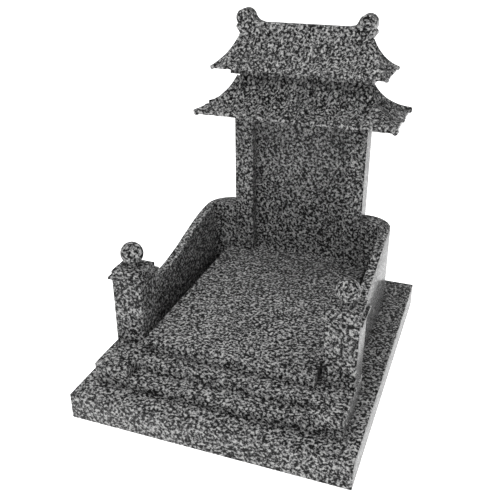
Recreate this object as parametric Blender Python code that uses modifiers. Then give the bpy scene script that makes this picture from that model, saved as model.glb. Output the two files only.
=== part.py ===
"""Stone grave monument: base slab, stepped plinth, two ball-topped posts, curved side walls,
grave cover, recessed headstone and a two-tier hipped tile roof with a scrolled ridge.

Metres, +Z up. The origin is the centre of the base slab's underside. The front, where the
steps are, faces -Y, and the headstone stands at the back.
"""

from math import acos, asin, atan2, ceil, cos, degrees, hypot, pi, radians, sin

import bmesh
import bpy
from mathutils import Matrix, Vector

# Air between stones that rest on or stand against each other
GAP = 0.0003

# Corners closer than this are one corner
SLIVER = 0.00002

# Base slab, cut flat at the ground
BASE_WIDTH = 1.200
BASE_DEPTH = 1.438
BASE_HEIGHT = 0.120

# Plinth: one stone with a pier at each front corner and two steps between them
PLINTH_MARGIN = 0.066
PLINTH_HEIGHT = 0.103
PLINTH_SETBACK = 0.107
PIER_WIDTH = 0.150
STEP_GOING = 0.078
STEP_RISE = 0.050
BED_INSET = 0.030

# Posts with a two-step cap, a short neck and a ball
POST_SIDE = 0.135
POST_HEIGHT = 0.306
POST_SETBACK = 0.187
POST_INSET = 0.003
CAP_OVERHANG = 0.013
CAP_LOWER_HEIGHT = 0.011
CAP_UPPER_HEIGHT = 0.027
NECK_RADIUS = 0.028
NECK_HEIGHT = 0.0125
BALL_RADIUS = 0.049

# Grave cover slab
COVER_CLEARANCE = 0.018
COVER_THICKNESS = 0.062
COVER_OVERHANG = 0.040

# Headstone with two pillars, a lintel and a sunk panel
HEADSTONE_WIDTH = 0.666
HEADSTONE_HEIGHT = 0.9205
HEADSTONE_THICKNESS = 0.115
HEADSTONE_SETBACK = 0.098
PILLAR_WIDTH = 0.096
PANEL_DEPTH = 0.055
LINTEL_HEIGHT = 0.052

# Side walls: thin along the sides, as thick as the headstone at the back
WALL_INSET = 0.0515
WALL_THICKNESS = 0.041
WALL_CORNER_RADIUS = 0.136
WALL_INNER_RADIUS = 0.040
WALL_RETURN = 0.004
WALL_REAR_HEIGHT = 0.408
WALL_FRONT_HEIGHT = 0.305
WALL_SWEEP_START = 0.158
WALL_SWEEP_END = 0.025

# Roof tiles, shared by both roofs
TILE_PITCH = 0.065
TILE_RADIUS = 0.030
TILE_RELIEF = 0.010
END_TILE_RELIEF = 0.004
TILE_REACH = 0.004
TILE_END = 0.88
HIP_END = 0.96
SIDE_BAR_SINK = 0.003
SIDE_BAR_REACH = 0.009
SLOPE_STEPS = 4

# Lower roof
LOWER_HALF_WIDTH = 0.480
LOWER_HALF_DEPTH = 0.204
LOWER_EAVE = 0.0125
LOWER_RISE = 0.164
LOWER_TOP_HALF_WIDTH = 0.309
LOWER_TOP_HALF_DEPTH = 0.033
LOWER_BOW = radians(27.3)
LOWER_SIDE_BAR_RADIUS = 0.0113
LOWER_HIP_RADIUS = 0.0155
LOWER_HIP_SINK = 0.007
LOWER_HIP_REACH = 0.005

# Neck between the roofs, cut on the underside of the upper roof stone
NECK_PLATE_HALF_WIDTH = 0.348
NECK_PLATE_HALF_DEPTH = 0.073
NECK_PLATE_HEIGHT = 0.034

# Upper roof
UPPER_HALF_WIDTH = 0.412
UPPER_HALF_DEPTH = 0.146
UPPER_EAVE = 0.007
UPPER_RISE = 0.150
UPPER_TOP_HALF_WIDTH = 0.309
UPPER_TOP_HALF_DEPTH = 0.006
UPPER_BOW = radians(20.9)
UPPER_SIDE_BAR_RADIUS = 0.010
UPPER_HIP_RADIUS = 0.010
UPPER_HIP_SINK = 0.004
UPPER_HIP_REACH = 0.005

# Ridge beam and its two scrolls
RIDGE_HEIGHT = 0.044
RIDGE_DEPTH = 0.030
SCROLL_DEPTH = 0.064
SCROLL_RADIUS = 0.041
SCROLL_INSET = 0.019
SCROLL_LIFT = 0.018
CURL_RADIUS = 0.016
CURL_DROP = 0.039
CURL_REACH = 0.026
SWOOP_LENGTH = 0.082
SCROLL_ROOT = 0.014

# How finely round stretches are divided, and the angle past which an edge is crisp
CORNER_STEPS = 8
SWEEP_STEPS = 14
BALL_STEPS = 12
SCROLL_STEPS = 18
CURL_STEPS = 8
CURL_END = -60.0
CRISP_ANGLE = radians(30.0)

# Finish of the stone
GRANITE_COLOUR = (0.115, 0.115, 0.117)
GRANITE_ROUGHNESS = 0.28

# Heights, widths and depths that the stones share
BASE_TOP = BASE_HEIGHT
SEAT = BASE_TOP + GAP
PLINTH_TOP = SEAT + PLINTH_HEIGHT
PLINTH_FRONT = -BASE_DEPTH / 2 + PLINTH_SETBACK
POST_FRONT = PLINTH_FRONT + POST_SETBACK
POST_BACK = POST_FRONT + POST_SIDE
HALF_PLINTH = BASE_WIDTH / 2 - PLINTH_MARGIN
POST_X = HALF_PLINTH - POST_INSET - POST_SIDE / 2
POST_Y = POST_FRONT + POST_SIDE / 2
POST_TOP = PLINTH_TOP + GAP + POST_HEIGHT
CAP_TOP = POST_TOP + GAP + CAP_LOWER_HEIGHT + CAP_UPPER_HEIGHT
HEADSTONE_BACK = BASE_DEPTH / 2 - HEADSTONE_SETBACK
HEADSTONE_FRONT = HEADSTONE_BACK - HEADSTONE_THICKNESS
HEADSTONE_TOP = SEAT + HEADSTONE_HEIGHT
ROOF_Y = (HEADSTONE_FRONT + HEADSTONE_BACK) / 2
HALF_COVER = POST_X - POST_SIDE / 2 - COVER_CLEARANCE
COVER_FRONT = POST_FRONT - COVER_OVERHANG
COVER_BACK = HEADSTONE_FRONT - GAP
COVER_BOTTOM = PLINTH_TOP + GAP
COVER_TOP = COVER_BOTTOM + COVER_THICKNESS
LOWER_BOTTOM = HEADSTONE_TOP + GAP
LOWER_TOP = LOWER_BOTTOM + LOWER_EAVE + LOWER_RISE
NECK_BOTTOM = LOWER_TOP + GAP
UPPER_BOTTOM = NECK_BOTTOM + NECK_PLATE_HEIGHT
UPPER_TOP = UPPER_BOTTOM + UPPER_EAVE + UPPER_RISE
RIDGE_TOP = UPPER_TOP + RIDGE_HEIGHT


def clear_scene():
    for item in list(bpy.data.objects):
        bpy.data.objects.remove(item, do_unlink=True)


def new_collection(name):
    group = bpy.data.collections.new(name)
    bpy.context.scene.collection.children.link(group)
    return group


def granite(name):
    """Polished dark grey granite, made for one stone."""
    material = bpy.data.materials.new(name)
    material.use_nodes = True
    shader = material.node_tree.nodes["Principled BSDF"]
    shader.inputs["Base Color"].default_value = (*GRANITE_COLOUR, 1.0)
    shader.inputs["Roughness"].default_value = GRANITE_ROUGHNESS
    shader.inputs["Metallic"].default_value = 0.0
    return material


def add_object(name, mesh, group):
    item = bpy.data.objects.new(name, mesh)
    group.objects.link(item)
    return item


def box(name, x_range, y_range, z_range, group):
    mesh = bpy.data.meshes.new(name)
    build = bmesh.new()
    size = [high - low for low, high in (x_range, y_range, z_range)]
    centre = [(high + low) / 2 for low, high in (x_range, y_range, z_range)]
    place = Matrix.Translation(centre) @ Matrix.Diagonal((*size, 1.0))
    bmesh.ops.create_cube(build, size=1.0, matrix=place)
    build.to_mesh(mesh)
    build.free()
    return add_object(name, mesh, group)


def curve_to_mesh(curve_object, group):
    """The curve as a closed mesh with its caps welded on."""
    graph = bpy.context.evaluated_depsgraph_get()
    mesh = bpy.data.meshes.new_from_object(curve_object.evaluated_get(graph))
    weld(mesh, SLIVER)
    item = add_object(curve_object.name + "_mesh", mesh, group)
    item.matrix_world = curve_object.matrix_world.copy()
    curve_data = curve_object.data
    bpy.data.objects.remove(curve_object, do_unlink=True)
    bpy.data.curves.remove(curve_data)
    return item


def extruded(name, outline, thickness, place, group):
    """A flat outline given thickness: the outline lies in the local XY plane."""
    curve = bpy.data.curves.new(name, "CURVE")
    curve.dimensions = "2D"
    curve.fill_mode = "BOTH"
    curve.extrude = thickness / 2
    spline = curve.splines.new("POLY")
    spline.points.add(len(outline) - 1)
    for point, (across, up) in zip(spline.points, outline):
        point.co = (across, up, 0.0, 1.0)
    spline.use_cyclic_u = True
    item = add_object(name, curve, group)
    item.matrix_world = place
    bpy.context.view_layer.update()
    return curve_to_mesh(item, group)


def bar(name, path, radius, group):
    """A round bar along a path."""
    curve = bpy.data.curves.new(name, "CURVE")
    curve.dimensions = "3D"
    curve.bevel_depth = radius
    curve.bevel_resolution = 2
    curve.use_fill_caps = True
    spline = curve.splines.new("POLY")
    spline.points.add(len(path) - 1)
    for point, position in zip(spline.points, path):
        point.co = (*position, 1.0)
    item = add_object(name, curve, group)
    bpy.context.view_layer.update()
    return curve_to_mesh(item, group)


def weld(mesh, distance):
    """Corners closer than the distance become one."""
    build = bmesh.new()
    build.from_mesh(mesh)
    bmesh.ops.remove_doubles(build, verts=build.verts, dist=distance)
    build.to_mesh(mesh)
    build.free()


def combine(target, tool, operation):
    """Cut, join or trim a stone with another solid, which is then used up."""
    modifier = target.modifiers.new(operation.lower(), "BOOLEAN")
    modifier.operation = operation
    modifier.solver = "EXACT"
    modifier.object = tool
    bpy.context.view_layer.update()
    graph = bpy.context.evaluated_depsgraph_get()
    mesh = bpy.data.meshes.new_from_object(target.evaluated_get(graph))
    weld(mesh, SLIVER)
    target.modifiers.remove(modifier)
    target.data = mesh
    bpy.data.objects.remove(tool, do_unlink=True)


def finish(item, name):
    item.name = name
    item.data.name = name
    item.data.materials.clear()
    item.data.materials.append(granite(name + "_granite"))
    item.data.shade_smooth()
    item.data.set_sharp_from_angle(angle=CRISP_ANGLE)


def arc(centre, radius, start, end, steps):
    """Points round part of a circle, from the start angle to the end angle in degrees."""
    angles = [radians(start + (end - start) * step / steps) for step in range(steps + 1)]
    return [(centre[0] + radius * cos(a), centre[1] + radius * sin(a)) for a in angles]


# The planes that outlines are drawn in
FACING_FRONT = Matrix.Rotation(pi / 2, 4, "X")
FACING_SIDE = Matrix.Rotation(pi / 2, 4, "Z") @ Matrix.Rotation(pi / 2, 4, "X")


def base_slab(group):
    half_width = BASE_WIDTH / 2
    half_depth = BASE_DEPTH / 2
    slab = box("slab", (-half_width, half_width), (-half_depth, half_depth), (0.0, BASE_TOP), group)
    finish(slab, "base_slab")


def plinth(group, tools):
    """Front block with the step notch, and the bed behind it that carries the grave cover."""
    half_width = HALF_PLINTH
    half_step = HALF_PLINTH - PIER_WIDTH
    half_bed = HALF_COVER - BED_INSET
    front = PLINTH_FRONT
    bed_back = HEADSTONE_FRONT - GAP
    outline = [(-half_width, front), (half_width, front), (half_width, POST_BACK), (half_bed, POST_BACK)]
    outline += [(half_bed, bed_back), (-half_bed, bed_back), (-half_bed, POST_BACK), (-half_width, POST_BACK)]
    place = Matrix.Translation((0.0, 0.0, (SEAT + PLINTH_TOP) / 2))
    block = extruded("block", outline, PLINTH_HEIGHT, place, group)
    notch_depth = (front - STEP_GOING, front + STEP_GOING)
    notch_height = (SEAT + STEP_RISE, PLINTH_TOP + STEP_RISE)
    notch = box("notch", (-half_step, half_step), notch_depth, notch_height, tools)
    combine(block, notch, "DIFFERENCE")
    finish(block, "front_plinth")


def post(side, label, group):
    half = POST_SIDE / 2
    x = side * POST_X
    x_range = (x - half, x + half)
    shaft = box("shaft", x_range, (POST_FRONT, POST_BACK), (PLINTH_TOP + GAP, POST_TOP), group)
    finish(shaft, f"post_{label}")


def post_cap(side, label, group, tools):
    """Two square plates cut from one stone, the lower one standing proud of the post."""
    x = side * POST_X
    lower = POST_SIDE / 2 + CAP_OVERHANG
    upper = POST_SIDE / 2
    bottom = POST_TOP + GAP
    middle = bottom + CAP_LOWER_HEIGHT
    plate = box("plate", (x - lower, x + lower), (POST_Y - lower, POST_Y + lower), (bottom, middle), group)
    upper_range = (middle - CAP_LOWER_HEIGHT / 2, CAP_TOP)
    step = box("step", (x - upper, x + upper), (POST_Y - upper, POST_Y + upper), upper_range, tools)
    combine(plate, step, "UNION")
    finish(plate, f"post_cap_{label}")


def ball_finial(side, label, group):
    """A ball on a short neck, turned from one stone: the profile runs from top to bottom."""
    centre = NECK_HEIGHT + BALL_RADIUS
    neck_angle = degrees(asin(NECK_RADIUS / BALL_RADIUS))
    ball = arc((0.0, centre), BALL_RADIUS, 90.0, neck_angle - 90.0, BALL_STEPS)
    profile = [*ball, (NECK_RADIUS, 0.0), (0.0, 0.0)]
    mesh = bpy.data.meshes.new("ball")
    points = [(max(across, 0.0), 0.0, up) for across, up in profile]
    mesh.from_pydata(points, [(step, step + 1) for step in range(len(points) - 1)], [])
    item = add_object("ball", mesh, group)
    item.location = (side * POST_X, POST_Y, CAP_TOP + GAP)
    screw = item.modifiers.new("turned", "SCREW")
    screw.steps = 2 * BALL_STEPS
    screw.render_steps = screw.steps
    screw.use_merge_vertices = True
    screw.merge_threshold = SLIVER
    finish(item, f"post_ball_{label}")


def grave_cover(group):
    slab = box("cover", (-HALF_COVER, HALF_COVER), (COVER_FRONT, COVER_BACK), (COVER_BOTTOM, COVER_TOP), group)
    finish(slab, "grave_cover")


def side_wall(side, label, group, tools):
    """Wall from a post to the headstone, rounded at the rear corner, its top sweeping up.

    Each rounding leaves at least a short straight return beside the headstone.
    """
    outer = HALF_PLINTH - WALL_INSET
    inner = outer - WALL_THICKNESS
    front = POST_BACK + GAP
    root = HEADSTONE_WIDTH / 2 + GAP
    outer_radius = min(WALL_CORNER_RADIUS, outer - root - WALL_RETURN)
    inner_radius = min(WALL_INNER_RADIUS, inner - root - WALL_RETURN)
    outer_centre = (outer - outer_radius, HEADSTONE_BACK - outer_radius)
    inner_centre = (inner - inner_radius, HEADSTONE_FRONT - inner_radius)
    round_outer = arc(outer_centre, outer_radius, 0.0, 90.0, CORNER_STEPS)
    round_inner = arc(inner_centre, inner_radius, 90.0, 0.0, CORNER_STEPS)
    outline = [(outer, front), *round_outer, (root, HEADSTONE_BACK), (root, HEADSTONE_FRONT)]
    outline += [*round_inner, (inner, front)]
    outline = [(side * across, along) for across, along in outline]
    blank = WALL_REAR_HEIGHT + WALL_THICKNESS
    place = Matrix.Translation((0.0, 0.0, SEAT + blank / 2))
    wall = extruded("wall", outline, blank, place, group)
    start = POST_BACK + WALL_SWEEP_START
    run = HEADSTONE_FRONT - WALL_SWEEP_END - start
    low = SEAT + WALL_FRONT_HEIGHT
    drop = WALL_REAR_HEIGHT - WALL_FRONT_HEIGHT
    shares = [step / SWEEP_STEPS for step in range(SWEEP_STEPS + 1)]
    sweep = [(start + run * share, low + drop * (1 - cos(pi * share)) / 2) for share in shares]
    over_front = front - WALL_THICKNESS
    over_back = HEADSTONE_BACK + WALL_THICKNESS
    over_top = SEAT + blank + WALL_THICKNESS
    above = [(over_front, low), *sweep, (over_back, sweep[-1][1])]
    above += [(over_back, over_top), (over_front, over_top)]
    place = Matrix.Translation((side * (outer + root) / 2, 0.0, 0.0)) @ FACING_SIDE
    waste = extruded("waste", above, 2 * (outer - root), place, tools)
    combine(wall, waste, "DIFFERENCE")
    finish(wall, f"side_wall_{label}")


def headstone(group, tools):
    half = HEADSTONE_WIDTH / 2
    half_panel = half - PILLAR_WIDTH
    slab = box("stone", (-half, half), (HEADSTONE_FRONT, HEADSTONE_BACK), (SEAT, HEADSTONE_TOP), group)
    depth = (HEADSTONE_FRONT - PANEL_DEPTH, HEADSTONE_FRONT + PANEL_DEPTH)
    panel = box("panel", (-half_panel, half_panel), depth, (COVER_TOP, HEADSTONE_TOP - LINTEL_HEIGHT), tools)
    combine(slab, panel, "DIFFERENCE")
    finish(slab, "headstone")


class Roof:
    """One hipped roof tier: its sizes, and where its hollow slopes run."""

    def __init__(self, half_width, half_depth, bottom, eave, rise, top_half_width, top_half_depth, bow):
        self.half_width = half_width
        self.half_depth = half_depth
        self.bottom = bottom
        self.eave_top = bottom + eave
        self.rise = rise
        self.run_x = half_width - top_half_width
        self.run_y = half_depth - top_half_depth
        self.bow = bow

    def slope(self, share):
        """How far in and how far up a slope has come, as shares of its run and its rise, along an arc."""
        radius = hypot(1.0, 1.0) / (2 * sin(self.bow))
        start = pi / 4 - self.bow
        angle = start + 2 * self.bow * share
        return radius * (sin(angle) - sin(start)), radius * (cos(start) - cos(angle))

    def level(self, share):
        """Half width, half depth and height of the roof at a share of its slope."""
        inward, up = self.slope(share)
        height = self.eave_top + up * self.rise
        return self.half_width - inward * self.run_x, self.half_depth - inward * self.run_y, height

    def share_at(self, inward):
        """The share of the slope that lies this far in, as a share of its run."""
        radius = hypot(1.0, 1.0) / (2 * sin(self.bow))
        start = pi / 4 - self.bow
        return (asin(inward / radius + sin(start)) - start) / (2 * self.bow)


def roof_body(roof, group):
    """The eave slab, its top face drawn up and in, level by level. Its underside is trimmed later."""
    x_range = (-roof.half_width, roof.half_width)
    y_range = (ROOF_Y - roof.half_depth, ROOF_Y + roof.half_depth)
    item = box("roof", x_range, y_range, (roof.bottom - TILE_RADIUS, roof.eave_top), group)
    build = bmesh.new()
    build.from_mesh(item.data)
    top = max(build.faces, key=lambda face: face.calc_center_median().z)
    for step in range(1, SLOPE_STEPS + 1):
        half_width, half_depth, height = roof.level(step / SLOPE_STEPS)
        top = bmesh.ops.extrude_discrete_faces(build, faces=[top])["faces"][0]
        for corner in top.verts:
            corner.co.x = half_width if corner.co.x > 0 else -half_width
            corner.co.y = ROOF_Y + (half_depth if corner.co.y > ROOF_Y else -half_depth)
            corner.co.z = height
    build.to_mesh(item.data)
    build.free()
    return item


def tile_places(half_size, odd):
    """Tile centres across a slope, evenly spaced between the hips."""
    count = round(2 * half_size / TILE_PITCH) - 1
    if odd and count % 2 == 0:
        count += 1
    spacing = 2 * half_size / (count + 1)
    return [(index - (count - 1) / 2) * spacing for index in range(count)]


def slope_path(roof, place, facing, along_x, sink, last):
    """A line up a slope from outside the eave, sunk below the surface square to itself."""
    steps = ceil(SLOPE_STEPS * last)
    levels = [roof.level(last * step / steps) for step in range(steps + 1)]
    line = [Vector((width if along_x else depth, height)) for width, depth, height in levels]
    line.insert(0, line[0] + (line[0] - line[1]).normalized() * TILE_RADIUS)
    path = []
    for index, point in enumerate(line):
        downhill = (line[max(index - 1, 0)] - line[min(index + 1, steps + 1)]).normalized()
        out = point.x + sink * downhill.y
        height = point.y - sink * downhill.x
        if along_x:
            path.append((facing * out, ROOF_Y + place, height))
        else:
            path.append((place, ROOF_Y + facing * out, height))
    return path


def last_share(roof, place, half_size, run):
    """Where a tile stops: at the hip, or just short of the top."""
    inward = (half_size - abs(place) - TILE_RADIUS) / run
    return min(roof.share_at(inward), TILE_END) if inward < 1.0 else TILE_END


def joined(bars):
    """Bars that stand clear of each other, as one object."""
    first = bars[0]
    build = bmesh.new()
    for item in bars:
        build.from_mesh(item.data)
    build.to_mesh(first.data)
    build.free()
    for item in bars[1:]:
        bpy.data.objects.remove(item, do_unlink=True)
    return first


def add_tiles(roof, target, tools):
    """Low half-round tiles down the four slopes, flatter at the ends and none down an end's middle."""
    front_sink = TILE_RADIUS - TILE_RELIEF
    end_sink = TILE_RADIUS - END_TILE_RELIEF
    for facing in (-1, 1):
        bars = []
        for place in tile_places(roof.half_width, False):
            last = last_share(roof, place, roof.half_width, roof.run_x)
            path = slope_path(roof, place, facing, False, front_sink, last)
            bars.append(bar("tile", path, TILE_RADIUS, tools))
        combine(target, joined(bars), "UNION")
        bars = []
        for place in tile_places(roof.half_depth, True):
            if abs(place) > TILE_RADIUS / 2:
                last = last_share(roof, place, roof.half_depth, roof.run_y)
                path = slope_path(roof, place, facing, True, end_sink, last)
                bars.append(bar("tile", path, TILE_RADIUS, tools))
        combine(target, joined(bars), "UNION")


def trim(roof, target, tools):
    """The underside cut flat, and the ends of the tiles cut plumb just outside the eave."""
    reach_x = roof.half_width + TILE_REACH
    reach_y = roof.half_depth + TILE_REACH
    y_range = (ROOF_Y - reach_y, ROOF_Y + reach_y)
    kept = box("kept", (-reach_x, reach_x), y_range, (roof.bottom, roof.eave_top + 2 * roof.rise), tools)
    combine(target, kept, "INTERSECT")


def add_hips(roof, target, radius, sink, reach, tools):
    """A round bar up each of the four corners, its end standing out past the eave."""
    levels = [roof.level(HIP_END * step / SLOPE_STEPS) for step in range(SLOPE_STEPS + 1)]
    levels.insert(0, (roof.half_width + reach, roof.half_depth + reach, roof.eave_top))
    for side_x in (-1, 1):
        for side_y in (-1, 1):
            path = [(side_x * across, ROOF_Y + side_y * along, up - sink) for across, along, up in levels]
            combine(target, bar("hip", path, radius, tools), "UNION")


def add_side_bars(roof, target, radius, tools):
    """A round bar up the middle of each end, its end standing out past the eave."""
    levels = [roof.level(TILE_END * step / SLOPE_STEPS) for step in range(SLOPE_STEPS + 1)]
    line = [(roof.half_width + SIDE_BAR_REACH, roof.eave_top)]
    line += [(across, up) for across, along, up in levels]
    for side in (-1, 1):
        path = [(side * across, ROOF_Y, up - SIDE_BAR_SINK) for across, up in line]
        combine(target, bar("side_bar", path, radius, tools), "UNION")


def lower_roof(group, tools):
    roof = Roof(LOWER_HALF_WIDTH, LOWER_HALF_DEPTH, LOWER_BOTTOM, LOWER_EAVE, LOWER_RISE,
                LOWER_TOP_HALF_WIDTH, LOWER_TOP_HALF_DEPTH, LOWER_BOW)
    body = roof_body(roof, group)
    add_tiles(roof, body, tools)
    trim(roof, body, tools)
    add_side_bars(roof, body, LOWER_SIDE_BAR_RADIUS, tools)
    add_hips(roof, body, LOWER_HIP_RADIUS, LOWER_HIP_SINK, LOWER_HIP_REACH, tools)
    finish(body, "lower_roof")


def corner_angle(first, second, opposite):
    """The angle in degrees between two sides of a triangle, from its three lengths."""
    return degrees(acos((first ** 2 + second ** 2 - opposite ** 2) / (2 * first * second)))


def scroll(side, group):
    """Ridge end: a sweep that rises from the ridge to a large round head with a small curl below it."""
    head_x = UPPER_TOP_HALF_WIDTH - SCROLL_INSET
    head_z = RIDGE_TOP + SCROLL_LIFT
    curl_x = head_x + CURL_REACH
    curl_z = head_z - CURL_DROP
    spare = SWOOP_LENGTH ** 2 + SCROLL_LIFT ** 2 - SCROLL_RADIUS ** 2
    sweep = spare / (2 * (SCROLL_RADIUS + SCROLL_LIFT))
    sweep_centre = (head_x - SWOOP_LENGTH, RIDGE_TOP + sweep)
    meet = degrees(atan2(SCROLL_LIFT - sweep, SWOOP_LENGTH))
    apart = hypot(CURL_REACH, CURL_DROP)
    toward_curl = degrees(atan2(-CURL_DROP, CURL_REACH))
    head_spread = corner_angle(apart, SCROLL_RADIUS, CURL_RADIUS)
    curl_spread = corner_angle(apart, CURL_RADIUS, SCROLL_RADIUS)
    outline = arc(sweep_centre, sweep, -90.0, meet, CORNER_STEPS)
    outline += arc((head_x, head_z), SCROLL_RADIUS, meet + 180.0, toward_curl + head_spread, SCROLL_STEPS)[1:]
    outline += arc((curl_x, curl_z), CURL_RADIUS, toward_curl + 180.0 - curl_spread, CURL_END, CURL_STEPS)[1:]
    outline += [(UPPER_TOP_HALF_WIDTH, UPPER_TOP - SCROLL_ROOT), (sweep_centre[0], UPPER_TOP - SCROLL_ROOT)]
    outline = [(side * across, up) for across, up in outline]
    place = Matrix.Translation((0.0, ROOF_Y, 0.0)) @ FACING_FRONT
    return extruded("scroll", outline, SCROLL_DEPTH, place, group)


def upper_roof(group, tools):
    roof = Roof(UPPER_HALF_WIDTH, UPPER_HALF_DEPTH, UPPER_BOTTOM, UPPER_EAVE, UPPER_RISE,
                UPPER_TOP_HALF_WIDTH, UPPER_TOP_HALF_DEPTH, UPPER_BOW)
    body = roof_body(roof, group)
    add_tiles(roof, body, tools)
    trim(roof, body, tools)
    add_side_bars(roof, body, UPPER_SIDE_BAR_RADIUS, tools)
    add_hips(roof, body, UPPER_HIP_RADIUS, UPPER_HIP_SINK, UPPER_HIP_REACH, tools)
    half_ridge = UPPER_TOP_HALF_WIDTH - SCROLL_INSET
    ridge_y = (ROOF_Y - RIDGE_DEPTH / 2, ROOF_Y + RIDGE_DEPTH / 2)
    ridge = box("ridge", (-half_ridge, half_ridge), ridge_y, (UPPER_TOP - RIDGE_HEIGHT, RIDGE_TOP), tools)
    combine(body, ridge, "UNION")
    for side in (-1, 1):
        combine(body, scroll(side, tools), "UNION")
    plate_x = (-NECK_PLATE_HALF_WIDTH, NECK_PLATE_HALF_WIDTH)
    plate_y = (ROOF_Y - NECK_PLATE_HALF_DEPTH, ROOF_Y + NECK_PLATE_HALF_DEPTH)
    plate = box("plate", plate_x, plate_y, (NECK_BOTTOM, UPPER_BOTTOM + UPPER_EAVE / 2), tools)
    combine(body, plate, "UNION")
    finish(body, "upper_roof")


def build_scene():
    clear_scene()
    parts = new_collection("grave_monument")
    tools = new_collection("cutters")
    tools.hide_render = True
    base_slab(parts)
    plinth(parts, tools)
    for side, label in ((-1, "left"), (1, "right")):
        post(side, label, parts)
        post_cap(side, label, parts, tools)
        ball_finial(side, label, parts)
        side_wall(side, label, parts, tools)
    grave_cover(parts)
    headstone(parts, tools)
    lower_roof(parts, tools)
    upper_roof(parts, tools)


build_scene()
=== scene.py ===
"""Polished granite grave monument: the looks of every stone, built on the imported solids.

Metres, +Z up. The steps face -Y and the headstone stands at the back, as in the solids.
"""

from math import acos, asin, atan2, cos, degrees, hypot, pi, radians, sin

import bmesh
import bpy
from mathutils import Matrix, Vector


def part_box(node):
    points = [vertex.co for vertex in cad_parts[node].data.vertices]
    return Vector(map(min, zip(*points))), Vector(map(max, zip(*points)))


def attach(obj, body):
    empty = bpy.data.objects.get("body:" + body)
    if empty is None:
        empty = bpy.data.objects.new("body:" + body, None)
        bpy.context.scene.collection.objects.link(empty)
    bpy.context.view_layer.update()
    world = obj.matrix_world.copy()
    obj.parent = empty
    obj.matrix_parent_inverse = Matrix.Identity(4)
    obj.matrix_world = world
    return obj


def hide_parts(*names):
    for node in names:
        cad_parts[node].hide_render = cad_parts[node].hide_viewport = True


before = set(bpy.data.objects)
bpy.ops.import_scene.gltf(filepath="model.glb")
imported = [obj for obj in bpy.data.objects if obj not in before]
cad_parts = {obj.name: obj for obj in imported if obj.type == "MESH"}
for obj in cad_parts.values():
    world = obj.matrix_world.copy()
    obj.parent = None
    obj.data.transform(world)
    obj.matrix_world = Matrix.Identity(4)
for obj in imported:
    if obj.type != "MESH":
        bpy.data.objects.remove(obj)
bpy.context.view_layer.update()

# The onlooker stands in front of the steps and to the right of them, a little above head height,
# and looks down on the grave through a normal lens.
VIEWPOINT = (0.908, -2.633, 1.936)
VIEW_DOWN = 26.34
VIEW_LEFT = 20.298
LENS = 49.936
SENSOR_WIDTH = 36.0
view_lens = bpy.data.cameras.new("viewpoint")
view_lens.lens = LENS
view_lens.sensor_width = SENSOR_WIDTH
viewpoint = bpy.data.objects.new("viewpoint", view_lens)
viewpoint.location = VIEWPOINT
viewpoint.rotation_euler = (radians(90.0 - VIEW_DOWN), 0.0, radians(VIEW_LEFT))
bpy.context.scene.collection.objects.link(viewpoint)
bpy.context.scene.camera = viewpoint


class Term:
    """A node socket that takes part in arithmetic: each operator adds one Math node."""

    def __init__(self, graph, socket):
        self.graph = graph
        self.socket = socket

    def apply(self, operation, *others):
        return self.graph.math(operation, self, *others)

    def __add__(self, other):
        return self.apply("ADD", other)

    def __radd__(self, other):
        return self.apply("ADD", other)

    def __sub__(self, other):
        return self.apply("SUBTRACT", other)

    def __rsub__(self, other):
        return self.graph.math("SUBTRACT", other, self)

    def __mul__(self, other):
        return self.apply("MULTIPLY", other)

    def __rmul__(self, other):
        return self.apply("MULTIPLY", other)

    def __truediv__(self, other):
        return self.apply("DIVIDE", other)

    def __rtruediv__(self, other):
        return self.graph.math("DIVIDE", other, self)


class Step:
    """A node that was added to a graph, with its outputs as terms."""

    def __init__(self, graph, node):
        self.graph = graph
        self.node = node

    def out(self, name):
        return Term(self.graph, self.node.outputs[name])


class Graph:
    """A node tree being written: add() makes a node, its settings first and then its sockets.
    A socket takes a term, a step's first output, a plain value or a list of terms."""

    def __init__(self, tree):
        self.tree = tree

    def add(self, kind, settings=None, values=None):
        node = self.tree.nodes.new(kind)
        for name, value in (settings or {}).items():
            if name == "stops":
                self.set_stops(node.color_ramp, value)
            else:
                setattr(node, name, value)
        for name, value in (values or {}).items():
            for source in value if isinstance(value, list) else [value]:
                self.feed(node.inputs[name], source)
        return Step(self, node)

    def feed(self, socket, source):
        if isinstance(source, Term):
            self.tree.links.new(source.socket, socket)
        elif isinstance(source, Step):
            self.tree.links.new(source.node.outputs[0], socket)
        else:
            socket.default_value = source

    def set_stops(self, ramp, stops):
        while len(ramp.elements) < len(stops):
            ramp.elements.new(0.5)
        for element, (position, colour) in zip(ramp.elements, stops):
            element.position = position
            element.color = (*colour, 1.0)

    def math(self, operation, *terms):
        settings = {"operation": operation}
        return self.add("ShaderNodeMath", settings, dict(enumerate(terms))).out("Value")


# Plain white studio floor, far larger than the view and lit a little from within. The light is
# soft: a ceiling that is bright overhead and dim low down, one wide lamp high in front of the
# steps, and a weaker one out to the right. Past the floor the eye meets plain white.
FLOOR_REACH = 40.0
FLOOR_DROP = 0.001
FLOOR_COLOUR = (0.93, 0.93, 0.93)
FLOOR_ROUGHNESS = 0.9
FLOOR_GLOW = 0.8
WHITE = (1.0, 1.0, 1.0)
SKY_TOP = (1.55, 1.55, 1.55)
SKY_LOW = (0.12, 0.12, 0.12)
SKY_STOPS = [(0.0, SKY_LOW), (0.55, SKY_LOW), (0.90, SKY_TOP)]
LAMP_PLACE = Vector((-0.9, -3.6, 4.6))
LAMP_AIM = Vector((0.0, 0.1, 0.5))
LAMP_SIZE = 2.4
LAMP_WATTS = 130.0
SIDE_LAMP_PLACE = Vector((3.2, -0.4, 2.3))
SIDE_LAMP_AIM = Vector((0.0, 0.4, 0.9))
SIDE_LAMP_WATTS = 22.0


def new_piece(name, mesh):
    piece = bpy.data.objects.new(name, mesh)
    bpy.context.scene.collection.objects.link(piece)
    return piece


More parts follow.
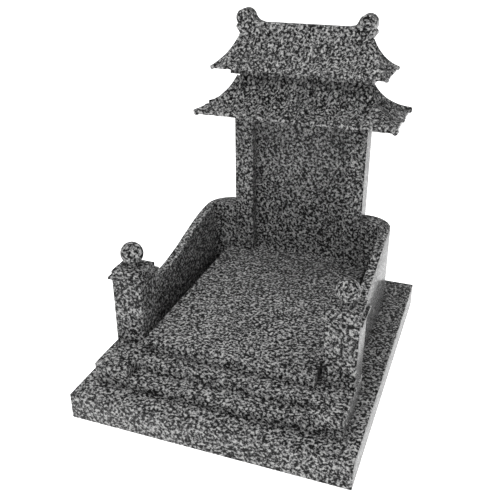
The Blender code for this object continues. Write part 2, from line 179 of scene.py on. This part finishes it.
def as_mesh(name, build):
    """The faces worked on so far as a new mesh, with the working copy let go."""
    mesh = bpy.data.meshes.new(name)
    build.to_mesh(mesh)
    build.free()
    return mesh


floor_build = bmesh.new()
bmesh.ops.create_grid(floor_build, x_segments=1, y_segments=1, size=FLOOR_REACH)
floor = new_piece("floor", as_mesh("floor", floor_build))
floor.location.z = -FLOOR_DROP
floor_paint = bpy.data.materials.new("floor_paint")
floor_paint.use_nodes = True
floor_shader = floor_paint.node_tree.nodes["Principled BSDF"]
floor_shader.inputs["Base Color"].default_value = (*FLOOR_COLOUR, 1.0)
floor_shader.inputs["Roughness"].default_value = FLOOR_ROUGHNESS
floor_shader.inputs["Specular IOR Level"].default_value = 0.0
floor_shader.inputs["Emission Color"].default_value = (*WHITE, 1.0)
floor_shader.inputs["Emission Strength"].default_value = FLOOR_GLOW
floor.data.materials.append(floor_paint)

sky = bpy.data.worlds.new("sky")
sky.use_nodes = True
bpy.context.scene.world = sky
sky_graph = Graph(sky.node_tree)
sky_place = sky_graph.add("ShaderNodeTexCoord").out("Generated")
sky_height = sky_graph.add("ShaderNodeSeparateXYZ", values={"Vector": sky_place}).out("Z")
sky_tone = sky_graph.add("ShaderNodeValToRGB", {"stops": SKY_STOPS}, {"Fac": sky_height})
sky_light = sky.node_tree.nodes["Background"]
sky_graph.feed(sky_light.inputs["Color"], sky_tone)
seen = sky_graph.add("ShaderNodeLightPath").out("Is Camera Ray")
white_wall = sky_graph.add("ShaderNodeBackground", values={"Color": (*WHITE, 1.0)})
choice = {0: seen, 1: Step(sky_graph, sky_light), 2: white_wall}
room = sky_graph.add("ShaderNodeMixShader", values=choice)
sky_graph.feed(sky.node_tree.nodes["World Output"].inputs["Surface"], room)


def soft_lamp(name, place, aim, watts):
    light = bpy.data.lights.new(name, "AREA")
    light.shape = "SQUARE"
    light.size = LAMP_SIZE
    light.energy = watts
    lamp = new_piece(name, light)
    lamp.location = place
    lamp.rotation_euler = (aim - place).to_track_quat("-Z", "Y").to_euler()


soft_lamp("lamp", LAMP_PLACE, LAMP_AIM, LAMP_WATTS)
soft_lamp("side_lamp", SIDE_LAMP_PLACE, SIDE_LAMP_AIM, SIDE_LAMP_WATTS)
bpy.context.scene.view_settings.view_transform = "Standard"


# Base slab: one sawn block of coarse dark grey granite, polished all round and laid flat on the
# ground. Its arrises are eased with a rub of the stone so that they don't chip.
SLAB_ARRIS = 0.004
ARRIS_SEGMENTS = 3
ARRIS_ANGLE = radians(35.0)
SLIVER = 0.00002
FLAT_ANGLE = radians(0.5)
BASE_BLOCK = (0.13, 0.71, 0.32)
GRAIN = 86.0
CRYSTAL_DETAIL = 1.0
CRYSTAL_CONTRAST = 2.3
FLECK = 260.0
FLECK_CONTRAST = 0.50
FLECK_DRIFT = 0.004
DRIFT_DETAIL = 2.0
MID_TONE = 0.5
STONE_IOR = 1.22
DARK_ROUGHNESS = 0.30
POLISH_GAIN = 0.12
RELIEF_STRENGTH = 0.05
RELIEF_HEIGHT = 0.0004
BLACK_MICA = (0.003, 0.003, 0.003)
DARK_SPAR = (0.034, 0.034, 0.035)
MID_SPAR = (0.118, 0.118, 0.119)
PALE_SPAR = (0.205, 0.205, 0.205)
QUARTZ = (0.42, 0.42, 0.415)
STONE_STOPS = [
    (0.29, BLACK_MICA), (0.41, DARK_SPAR), (0.52, MID_SPAR), (0.70, PALE_SPAR), (0.95, QUARTZ),
]


def granite(name, block):
    """Polished granite, cut from its own place in the quarry block: crystals in five tones,
    broken up by small flecks. The darker a crystal is, the less polish it takes."""
    stone = bpy.data.materials.new(name)
    stone.use_nodes = True
    graph = Graph(stone.node_tree)
    place = graph.add("ShaderNodeTexCoord").out("Object")
    turned = {"Vector": place, "Location": block, "Rotation": (block[1], block[2], block[0])}
    place = graph.add("ShaderNodeMapping", {"vector_type": "POINT"}, turned).out("Vector")
    values = {"Vector": place, "Scale": GRAIN, "Detail": DRIFT_DETAIL}
    drift = graph.add("ShaderNodeTexNoise", values=values).out("Color")
    values = {0: drift, 1: (FLECK_DRIFT,) * 3, 2: place}
    bent = graph.add("ShaderNodeVectorMath", {"operation": "MULTIPLY_ADD"}, values).out("Vector")
    values = {"Vector": place, "Scale": GRAIN, "Detail": CRYSTAL_DETAIL}
    crystal = graph.add("ShaderNodeTexNoise", values=values).out("Fac")
    fleck = graph.add("ShaderNodeTexVoronoi", values={"Vector": bent, "Scale": FLECK}).out("Color")
    fleck = graph.add("ShaderNodeSeparateColor", values={"Color": fleck}).out("Green")
    tone = (crystal - MID_TONE) * CRYSTAL_CONTRAST + (fleck - MID_TONE) * FLECK_CONTRAST + MID_TONE
    colour = graph.add("ShaderNodeValToRGB", {"stops": STONE_STOPS}, {"Fac": tone})
    relief = {"Height": tone, "Strength": RELIEF_STRENGTH, "Distance": RELIEF_HEIGHT}
    shader = stone.node_tree.nodes["Principled BSDF"]
    graph.feed(shader.inputs["Base Color"], colour)
    graph.feed(shader.inputs["IOR"], STONE_IOR)
    graph.feed(shader.inputs["Roughness"], DARK_ROUGHNESS - tone * POLISH_GAIN)
    graph.feed(shader.inputs["Normal"], graph.add("ShaderNodeBump", values=relief))
    return stone


def plain_copy(item):
    """The object's evaluated shape as a plain mesh, with its modifiers gone."""
    graph = bpy.context.evaluated_depsgraph_get()
    mesh = bpy.data.meshes.new_from_object(item.evaluated_get(graph))
    item.modifiers.clear()
    item.data = mesh
    return item


def ease_arrises(item, width):
    """The crisp edges rounded by a few millimetres, and the stone shaded smooth between them."""
    bevel = item.modifiers.new("arris", "BEVEL")
    bevel.width = width
    bevel.segments = ARRIS_SEGMENTS
    bevel.limit_method = "ANGLE"
    bevel.angle_limit = ARRIS_ANGLE
    bevel.harden_normals = True
    item.data.shade_smooth()
    return plain_copy(item)


def set_in_place(piece, stone, *nodes):
    """The finished stone takes its granite, stands for its solids and rides with the monument."""
    piece.data.materials.clear()
    piece.data.materials.append(stone)
    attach(piece, "root")
    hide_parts(*nodes)


def sawn_stone(name, node, arris, stone):
    """A stone whose shape is its solid's, with eased arrises."""
    build = bmesh.new()
    build.from_mesh(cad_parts[node].data)
    bmesh.ops.remove_doubles(build, verts=build.verts, dist=SLIVER)
    bmesh.ops.dissolve_limit(build, angle_limit=FLAT_ANGLE, verts=build.verts, edges=build.edges)
    piece = new_piece(name, as_mesh(name, build))
    set_in_place(ease_arrises(piece, arris), stone, node)


sawn_stone("base_slab_stone", "base_slab", SLAB_ARRIS, granite("base_granite", BASE_BLOCK))


# Front plinth: one block with a pier at each corner and two steps sawn between the piers, bedded
# on the base slab. Its tail runs back under the grave cover.
PLINTH_BLOCK = (0.57, 0.22, 0.91)
plinth_stone = granite("plinth_granite", PLINTH_BLOCK)
sawn_stone("front_plinth_stone", "front_plinth", SLAB_ARRIS, plinth_stone)


# Posts, caps and balls: a square post on each pier, a cap of two square plates, and a ball turned
# with its short neck from one piece. Each stone is dowelled to the one below.
POST_ARRIS = 0.003
CAP_ARRIS = 0.0025
NECK_RADIUS = 0.028
NECK_HEIGHT = 0.0125
BALL_STEPS = 40
BALL_TURNS = 72
BALL_CRISP_ANGLE = radians(40.0)
SEAM = 0.00005
POST_BLOCKS = {"left": (0.31, 0.44, 0.08), "right": (0.83, 0.17, 0.65)}


def turned_ball(name, node, stone):
    low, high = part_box(node)
    centre = Vector(((low.x + high.x) / 2, (low.y + high.y) / 2, low.z))
    radius = (high.z - low.z - NECK_HEIGHT) / 2
    start = asin(NECK_RADIUS / radius) - pi / 2
    angles = [start + (pi / 2 - start) * step / BALL_STEPS for step in range(BALL_STEPS + 1)]
    profile = [(0.0, 0.0), (NECK_RADIUS, 0.0)]
    profile += [
        (radius * cos(angle), NECK_HEIGHT + radius * (1.0 + sin(angle))) for angle in angles
    ]
    build = bmesh.new()
    ring = [build.verts.new((centre.x + across, centre.y, centre.z + up)) for across, up in profile]
    edges = [build.edges.new(pair) for pair in zip(ring, ring[1:])]
    turn = {"cent": centre, "axis": (0, 0, 1), "angle": 2 * pi, "steps": BALL_TURNS}
    bmesh.ops.spin(build, geom=ring + edges, **turn)
    bmesh.ops.remove_doubles(build, verts=build.verts, dist=SEAM)
    bmesh.ops.recalc_face_normals(build, faces=build.faces)
    mesh = as_mesh(name, build)
    mesh.shade_smooth()
    mesh.set_sharp_from_angle(angle=BALL_CRISP_ANGLE)
    set_in_place(new_piece(name, mesh), stone, node)


for hand, block in POST_BLOCKS.items():
    post_stone = granite(f"post_{hand}_granite", block)
    cap_stone = granite(f"cap_{hand}_granite", block[::-1])
    ball_stone = granite(f"ball_{hand}_granite", (block[1], block[0], block[2]))
    sawn_stone(f"post_{hand}_stone", f"post_{hand}", POST_ARRIS, post_stone)
    sawn_stone(f"post_cap_{hand}_stone", f"post_cap_{hand}", CAP_ARRIS, cap_stone)
    turned_ball(f"post_ball_{hand}_stone", f"post_ball_{hand}", ball_stone)


# Side walls: thin slabs from the posts to the headstone, with a sweeping top and a rounded rear
# corner, polished on both faces and along the top.
WALL_ARRIS = 0.003
WALL_BLOCKS = {"left": (0.95, 0.36, 0.27), "right": (0.12, 0.88, 0.53)}
for hand, block in WALL_BLOCKS.items():
    wall_stone = granite(f"wall_{hand}_granite", block)
    sawn_stone(f"side_wall_{hand}_stone", f"side_wall_{hand}", WALL_ARRIS, wall_stone)


# Grave cover: one polished slab that lies on the plinth's tail and closes the grave, with a
# rounded top edge.
COVER_ARRIS = 0.005
COVER_BLOCK = (0.41, 0.63, 0.77)
sawn_stone("grave_cover_stone", "grave_cover", COVER_ARRIS, granite("cover_granite", COVER_BLOCK))


# Headstone: an upright slab whose face is sunk between two pillars and a lintel. The sunk panel
# is left blank for an inscription.
HEADSTONE_ARRIS = 0.003
HEADSTONE_BLOCK = (0.69, 0.05, 0.48)
head_stone = granite("headstone_granite", HEADSTONE_BLOCK)
sawn_stone("headstone_stone", "headstone", HEADSTONE_ARRIS, head_stone)


# Lower roof: a hipped roof carved from one stone, with hollow slopes, low half-round tile rolls
# down each slope, a round bar up each hip and one down the middle of each end.
TILE_PITCH = 0.065
TILE_RADIUS = 0.030
TILE_RELIEF = 0.013
TILE_FADE = 0.012
END_RELIEF = 0.003
HIP_END = 0.96
SIDE_BAR_END = 0.90
SIDE_BAR_SINK = 0.003
KNOB_SHARE = 0.055
KNOB_FLARE = 0.15
LOWER_ROOF = {
    "Half Width": 0.484, "Half Depth": 0.204, "Top Half Width": 0.309, "Top Half Depth": 0.033,
    "Eave": 0.0125, "Rise": 0.164, "Bow": radians(27.3),
}
LOWER_BARS = {
    "Hip Radius": 0.0155, "Hip Sink": 0.007, "Side Bar Radius": 0.0113, "Side Bar Reach": 0.028,
}
LOWER_BLOCK = (0.26, 0.52, 0.84)
SLOPE_COLUMNS = 420
END_COLUMNS = 200
SLOPE_ROWS = 22
BAR_POINTS = 26
BAR_SIDES = 20
HALF_DIAGONAL = 2.0 ** 0.5 / 2
ROOF_CRISP_ANGLE = radians(50.0)
JOINT = 0.0003
ROOF_INPUTS = [
    "Half Width", "Half Depth", "Top Half Width", "Top Half Depth", "Eave", "Rise", "Bow",
    "Underside", "Centre Y",
]
SHELL_INPUTS = [
    *ROOF_INPUTS, "Front Gap", "Front Shift", "End Gap", "End Shift",
    "Tile Radius", "Tile Relief", "End Relief",
]
BAR_INPUTS = [*ROOF_INPUTS, "Hip Radius", "Hip Sink", "Side Bar Radius", "Side Bar Reach"]


def new_tree(name, inputs):
    """A geometry tree with one number input for each name, and a geometry output."""
    tree = bpy.data.node_groups.new(name, "GeometryNodeTree")
    for label in inputs:
        tree.interface.new_socket(label, in_out="INPUT", socket_type="NodeSocketFloat")
    tree.interface.new_socket("Stone", in_out="INPUT", socket_type="NodeSocketMaterial")
    tree.interface.new_socket("Geometry", in_out="OUTPUT", socket_type="NodeSocketGeometry")
    graph = Graph(tree)
    entry = graph.add("NodeGroupInput")
    terms = {label: entry.out(label) for label in inputs}
    return graph, terms, entry.out("Stone")


def slope_arc(graph, terms, share):
    """Along a hollow slope: how far in and up it has come, as shares of its run and its rise, and
    the direction in which it climbs there."""
    start = pi / 4 - terms["Bow"]
    radius = HALF_DIAGONAL / terms["Bow"].apply("SINE")
    angle = start + terms["Bow"] * 2.0 * share
    inward = radius * (angle.apply("SINE") - start.apply("SINE"))
    upward = radius * (start.apply("COSINE") - angle.apply("COSINE"))
    return inward, upward, angle


def tile_spacing(half_size, odd):
    """The gap between tile rolls, and the shift that centres them, as a share of the gap."""
    count = round(2 * half_size / TILE_PITCH) - 1
    if odd and count % 2 == 0:
        count += 1
    return 2 * half_size / (count + 1), 0.0 if count % 2 else 0.5


def finish_tree(graph, parts, stone):
    """The parts joined, made real, given their stone and sent out."""
    joined = graph.add("GeometryNodeJoinGeometry", values={"Geometry": parts})
    real = graph.add("GeometryNodeRealizeInstances", values={"Geometry": joined})
    welded = graph.add("GeometryNodeMergeByDistance", values={"Geometry": real, "Distance": SEAM})
    painted = graph.add("GeometryNodeSetMaterial", values={"Geometry": welded, "Material": stone})
    graph.add("NodeGroupOutput", values={"Geometry": painted})


def roof_shell_tree():
    """The tiled slopes of a hipped roof: four grids bent onto the arcs, the tile rolls raised."""
    graph, terms, stone = new_tree("roof_shell", SHELL_INPUTS)
    grid_place = graph.add("GeometryNodeInputPosition").out("Position")
    split = graph.add("ShaderNodeSeparateXYZ", values={"Vector": grid_place})
    across = split.out("X")
    row = (split.out("Y") + 0.5) * (SLOPE_ROWS - 1)
    share = ((row - 1.0) / (SLOPE_ROWS - 2)).apply("MAXIMUM", 0.0)
    on_slope = row.apply("GREATER_THAN", 0.5)
    inward, upward, angle = slope_arc(graph, terms, share)
    run_x = terms["Half Width"] - terms["Top Half Width"]
    run_y = terms["Half Depth"] - terms["Top Half Depth"]
    half_width = terms["Half Width"] - inward * run_x
    half_depth = terms["Half Depth"] - inward * run_y
    height = terms["Underside"] + terms["Eave"] + upward * terms["Rise"]
    parts = []
    for facing in (-1.0, 1.0):
        for end in (False, True):
            if end:
                half_length, reach, run = half_depth, half_width, run_x
                gap, shift = terms["End Gap"], terms["End Shift"]
            else:
                half_length, reach, run = half_width, half_depth, run_y
                gap, shift = terms["Front Gap"], terms["Front Shift"]
            along = across * half_length
            turns = along / gap + shift
            off_centre = (turns - turns.apply("ROUND")) * gap
            level = terms["Tile Radius"] - terms["Tile Relief"]
            chord = terms["Tile Radius"].apply("POWER", 2.0) - off_centre.apply("POWER", 2.0)
            roll = (chord.apply("MAXIMUM", 0.0).apply("SQRT") - level).apply("MAXIMUM", 0.0)
            to_hip = (half_length - along.apply("ABSOLUTE")) / TILE_FADE
            roll = roll * to_hip.apply("MINIMUM", 1.0)
            if end:
                roll = roll * terms["End Relief"] / terms["Tile Relief"]
                roll = roll * along.apply("ABSOLUTE").apply("GREATER_THAN", gap * 0.5)
            climb = terms["Rise"] * angle.apply("SINE")
            level_run = run * angle.apply("COSINE")
            size = (climb.apply("POWER", 2.0) + level_run.apply("POWER", 2.0)).apply("SQRT")
            out = reach + roll * climb / size
            top = height + roll * level_run / size
            up = top * on_slope + terms["Underside"] * (1.0 - on_slope)
            if end:
                spot = {"X": out * facing, "Y": along * facing + terms["Centre Y"], "Z": up}
            else:
                spot = {"X": along * -facing, "Y": out * facing + terms["Centre Y"], "Z": up}
            place = graph.add("ShaderNodeCombineXYZ", values=spot).out("Vector")
            columns = END_COLUMNS if end else SLOPE_COLUMNS
            sizes = {"Size X": 2.0, "Size Y": 1.0, "Vertices X": columns, "Vertices Y": SLOPE_ROWS}
            grid = graph.add("GeometryNodeMeshGrid", values=sizes).out("Mesh")
            bent = {"Geometry": grid, "Position": place}
            parts.append(graph.add("GeometryNodeSetPosition", values=bent).out("Geometry"))
    finish_tree(graph, parts, stone)
    return graph.tree


def roof_bars_tree():
    """Round bars that follow the hollow slopes: one up each hip, one up the middle of each end.
    Each bar swells a little into a round knob at the eave."""
    graph, terms, stone = new_tree("roof_bars", BAR_INPUTS)
    factor = graph.add("GeometryNodeSplineParameter").out("Factor")
    hip_share = factor * HIP_END
    side_share = factor * SIDE_BAR_END - terms["Side Bar Reach"]
    run_x = terms["Half Width"] - terms["Top Half Width"]
    run_y = terms["Half Depth"] - terms["Top Half Depth"]
    parts = []
    hip = (hip_share, terms["Hip Radius"], terms["Hip Sink"])
    side_bar = (side_share, terms["Side Bar Radius"], SIDE_BAR_SINK)
    routes = [(x, y, *hip) for x in (-1.0, 1.0) for y in (-1.0, 1.0)]
    routes += [(x, 0.0, *side_bar) for x in (-1.0, 1.0)]
    flare = factor.apply("LESS_THAN", KNOB_SHARE) * KNOB_FLARE + 1.0
    for side_x, side_y, share, radius, sink in routes:
        inward, upward, angle = slope_arc(graph, terms, share)
        spot = {
            "X": (terms["Half Width"] - inward * run_x) * side_x,
            "Y": (terms["Half Depth"] - inward * run_y) * side_y + terms["Centre Y"],
            "Z": terms["Underside"] + terms["Eave"] + upward * terms["Rise"] - sink,
        }
        place = graph.add("ShaderNodeCombineXYZ", values=spot).out("Vector")
        line = graph.add("GeometryNodeCurvePrimitiveLine").out("Curve")
        values = {"Curve": line, "Count": BAR_POINTS}
        line = graph.add("GeometryNodeResampleCurve", values=values).out("Curve")
        values = {"Geometry": line, "Position": place}
        route = graph.add("GeometryNodeSetPosition", values=values).out("Geometry")
        values = {"Curve": route, "Radius": flare}
        route = graph.add("GeometryNodeSetCurveRadius", values=values).out("Curve")
        values = {"Resolution": BAR_SIDES, "Radius": radius}
        ring = graph.add("GeometryNodeCurvePrimitiveCircle", values=values).out("Curve")
        swept = {"Curve": route, "Profile Curve": ring, "Fill Caps": True}
        parts.append(graph.add("GeometryNodeCurveToMesh", values=swept).out("Mesh"))
    finish_tree(graph, parts, stone)
    return graph.tree


def grown(name, tree, values, stone):
    """A piece grown by a geometry tree from its named inputs, as a plain mesh."""
    piece = new_piece(name, bpy.data.meshes.new(name))
    growth = piece.modifiers.new(name, "NODES")
    growth.node_group = tree
    inputs = [item for item in tree.interface.items_tree if item.in_out == "INPUT"]
    sockets = {item.name: item.identifier for item in inputs}
    for label, value in values.items():
        if label in sockets:
            growth[sockets[label]] = value
    growth[sockets["Stone"]] = stone
    return plain_copy(piece)


def close_and_smooth(piece):
    """Open rims closed with flat faces, faces turned outwards, and shading smooth."""
    build = bmesh.new()
    build.from_mesh(piece.data)
    rims = [edge for edge in build.edges if edge.is_boundary]
    bmesh.ops.holes_fill(build, edges=rims, sides=0)
    bmesh.ops.recalc_face_normals(build, faces=build.faces)
    build.to_mesh(piece.data)
    build.free()
    piece.data.shade_smooth()
    piece.data.set_sharp_from_angle(angle=ROOF_CRISP_ANGLE)


roof_shell = roof_shell_tree()
roof_bars = roof_bars_tree()


def carved_roof(label, node, sizes, bars, underside, stone):
    """The tiled shell and its round bars, which together stand for the roof's solid."""
    low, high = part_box(node)
    front_gap, front_shift = tile_spacing(sizes["Half Width"], False)
    end_gap, end_shift = tile_spacing(sizes["Half Depth"], True)
    shared = {
        **sizes, **bars, "Underside": underside, "Centre Y": (low.y + high.y) / 2,
        "Front Gap": front_gap, "Front Shift": front_shift,
        "End Gap": end_gap, "End Shift": end_shift,
        "Tile Radius": TILE_RADIUS, "Tile Relief": TILE_RELIEF, "End Relief": END_RELIEF,
    }
    shell = grown(f"{label}_tiles", roof_shell, shared, stone)
    close_and_smooth(shell)
    set_in_place(shell, stone, node)
    rolls = grown(f"{label}_hips", roof_bars, shared, stone)
    close_and_smooth(rolls)
    set_in_place(rolls, stone, node)


headstone_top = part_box("headstone")[1].z
lower_stone = granite("lower_roof_granite", LOWER_BLOCK)
carved_roof("lower_roof", "lower_roof", LOWER_ROOF, LOWER_BARS, headstone_top + JOINT, lower_stone)


# Upper roof: the same carving, smaller and steeper, with a flat neck below that lifts it off the
# lower roof. It is bedded on the lower roof.
NECK_HALF_WIDTH = 0.348
NECK_HALF_DEPTH = 0.073
NECK_HEIGHT_UNDER = 0.034
NECK_ARRIS = 0.002
UPPER_ROOF = {
    "Half Width": 0.416, "Half Depth": 0.146, "Top Half Width": 0.309, "Top Half Depth": 0.006,
    "Eave": 0.007, "Rise": 0.150, "Bow": radians(20.9),
}
UPPER_BARS = {
    "Hip Radius": 0.010, "Hip Sink": 0.004, "Side Bar Radius": 0.010, "Side Bar Reach": 0.01,
}
UPPER_BLOCK = (0.78, 0.29, 0.11)


def cut_block(name, low, high, arris, stone, *nodes):
    """A square block between two corners, with eased arrises."""
    build = bmesh.new()
    size = Vector(high) - Vector(low)
    place = Matrix.Translation((Vector(low) + Vector(high)) / 2) @ Matrix.Diagonal((*size, 1.0))
    bmesh.ops.create_cube(build, size=1.0, matrix=place)
    piece = new_piece(name, as_mesh(name, build))
    set_in_place(ease_arrises(piece, arris), stone, *nodes)


upper_stone = granite("upper_roof_granite", UPPER_BLOCK)
upper_low, upper_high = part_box("upper_roof")
roof_y = (upper_low.y + upper_high.y) / 2
neck_top = upper_low.z + NECK_HEIGHT_UNDER
carved_roof("upper_roof", "upper_roof", UPPER_ROOF, UPPER_BARS, neck_top, upper_stone)
neck_low = (-NECK_HALF_WIDTH, roof_y - NECK_HALF_DEPTH, upper_low.z)
neck_high = (NECK_HALF_WIDTH, roof_y + NECK_HALF_DEPTH, neck_top + UPPER_ROOF["Eave"] / 2)
cut_block("roof_neck", neck_low, neck_high, NECK_ARRIS, upper_stone, "upper_roof")


# Ridge: a flat-topped beam along the top with a scroll at each end, cut from the roof's stone.
# Each scroll has a large round head, a small curl below it and a spiral cut into its two faces.
RIDGE_HEIGHT = 0.044
RIDGE_DEPTH = 0.030
RIDGE_ARRIS = 0.003
SCROLL_DEPTH = 0.064
SCROLL_RADIUS = 0.041
SCROLL_INSET = 0.019
SCROLL_LIFT = 0.018
SCROLL_ROOT = 0.014
SCROLL_ARRIS = 0.002
SCROLL_CRISP_ANGLE = radians(30.0)
SWOOP_LENGTH = 0.082
CURL_RADIUS = 0.016
CURL_DROP = 0.039
CURL_REACH = 0.026
CURL_END = -60.0
SWOOP_STEPS = 16
HEAD_STEPS = 48
CURL_STEPS = 24
GROOVE_RADIUS = 0.0040
GROOVE_TURNS = 1.4
GROOVE_START = 0.008
GROOVE_END = 0.031
GROOVE_POINTS = 60
GROOVE_ROUNDING = 2
ridge_foot = neck_top + UPPER_ROOF["Eave"] + UPPER_ROOF["Rise"]
ridge_top = ridge_foot + RIDGE_HEIGHT
head_x = UPPER_ROOF["Top Half Width"] - SCROLL_INSET
head_z = ridge_top + SCROLL_LIFT
ridge_low = (-head_x, roof_y - RIDGE_DEPTH / 2, ridge_foot - RIDGE_HEIGHT)
ridge_high = (head_x, roof_y + RIDGE_DEPTH / 2, ridge_top)
cut_block("roof_ridge", ridge_low, ridge_high, RIDGE_ARRIS, upper_stone, "upper_roof")


def arc(centre, radius, start, end, steps):
    """Points round part of a circle, from the start angle to the end angle in degrees."""
    angles = [radians(start + (end - start) * step / steps) for step in range(steps + 1)]
    return [(centre[0] + radius * cos(angle), centre[1] + radius * sin(angle)) for angle in angles]


def corner_angle(first, second, opposite):
    """The angle in degrees between two sides of a triangle, from its three lengths."""
    return degrees(acos((first ** 2 + second ** 2 - opposite ** 2) / (2 * first * second)))


def scroll_outline():
    """The right scroll, seen from the front: the swoop, the head, the curl and the root."""
    spare = SWOOP_LENGTH ** 2 + SCROLL_LIFT ** 2 - SCROLL_RADIUS ** 2
    sweep = spare / (2 * (SCROLL_RADIUS + SCROLL_LIFT))
    sweep_centre = (head_x - SWOOP_LENGTH, ridge_top + sweep)
    meet = degrees(atan2(SCROLL_LIFT - sweep, SWOOP_LENGTH))
    apart = hypot(CURL_REACH, CURL_DROP)
    toward_curl = degrees(atan2(-CURL_DROP, CURL_REACH))
    head_spread = corner_angle(apart, SCROLL_RADIUS, CURL_RADIUS)
    curl_spread = corner_angle(apart, CURL_RADIUS, SCROLL_RADIUS)
    curl_centre = (head_x + CURL_REACH, head_z - CURL_DROP)
    outline = arc(sweep_centre, sweep, -90.0, meet, SWOOP_STEPS)
    head_end = toward_curl + head_spread
    outline += arc((head_x, head_z), SCROLL_RADIUS, meet + 180.0, head_end, HEAD_STEPS)[1:]
    curl_start = toward_curl + 180.0 - curl_spread
    outline += arc(curl_centre, CURL_RADIUS, curl_start, CURL_END, CURL_STEPS)[1:]
    root = ridge_foot - SCROLL_ROOT
    return outline + [(UPPER_ROOF["Top Half Width"], root), (sweep_centre[0], root)]


def solid_from_curve(name, curve, place):
    """A curve as a closed mesh with its place in its corners."""
    holder = new_piece(name, curve)
    holder.matrix_world = place
    bpy.context.view_layer.update()
    graph = bpy.context.evaluated_depsgraph_get()
    mesh = bpy.data.meshes.new_from_object(holder.evaluated_get(graph))
    mesh.transform(holder.matrix_world)
    bpy.data.objects.remove(holder, do_unlink=True)
    build = bmesh.new()
    build.from_mesh(mesh)
    bmesh.ops.remove_doubles(build, verts=build.verts, dist=SLIVER)
    bmesh.ops.recalc_face_normals(build, faces=build.faces)
    return new_piece(name, as_mesh(name, build))


def spiral_tool(side, face):
    """A round cutter that winds out from the middle of a scroll's head, on one of its faces."""
    curve = bpy.data.curves.new("spiral", "CURVE")
    curve.dimensions = "3D"
    curve.bevel_depth = GROOVE_RADIUS
    curve.bevel_resolution = GROOVE_ROUNDING
    curve.use_fill_caps = True
    spline = curve.splines.new("POLY")
    spline.points.add(GROOVE_POINTS)
    for step, point in enumerate(spline.points):
        share = step / GROOVE_POINTS
        angle = 2 * pi * GROOVE_TURNS * share + pi
        radius = GROOVE_START + (GROOVE_END - GROOVE_START) * share
        across = side * (head_x + radius * cos(angle))
        point.co = (across, roof_y + face * SCROLL_DEPTH / 2, head_z + radius * sin(angle), 1.0)
    return solid_from_curve("spiral", curve, Matrix.Identity(4))


def carve(piece, tool):
    cut = piece.modifiers.new("cut", "BOOLEAN")
    cut.operation = "DIFFERENCE"
    cut.solver = "EXACT"
    cut.object = tool
    plain_copy(piece)
    bpy.data.objects.remove(tool, do_unlink=True)


for side, hand in ((-1, "left"), (1, "right")):
    face = bpy.data.curves.new("scroll", "CURVE")
    face.dimensions = "2D"
    face.fill_mode = "BOTH"
    face.extrude = SCROLL_DEPTH / 2
    rim = face.splines.new("POLY")
    outline = scroll_outline()
    rim.points.add(len(outline) - 1)
    for point, (across, up) in zip(rim.points, outline):
        point.co = (side * across, up, 0.0, 1.0)
    rim.use_cyclic_u = True
    upright = Matrix.Translation((0.0, roof_y, 0.0)) @ Matrix.Rotation(pi / 2, 4, "X")
    scroll = ease_arrises(solid_from_curve(f"scroll_{hand}", face, upright), SCROLL_ARRIS)
    for front in (-1, 1):
        carve(scroll, spiral_tool(side, front))
    scroll.data.shade_smooth()
    scroll.data.set_sharp_from_angle(angle=SCROLL_CRISP_ANGLE)
    set_in_place(scroll, upper_stone, "upper_roof")
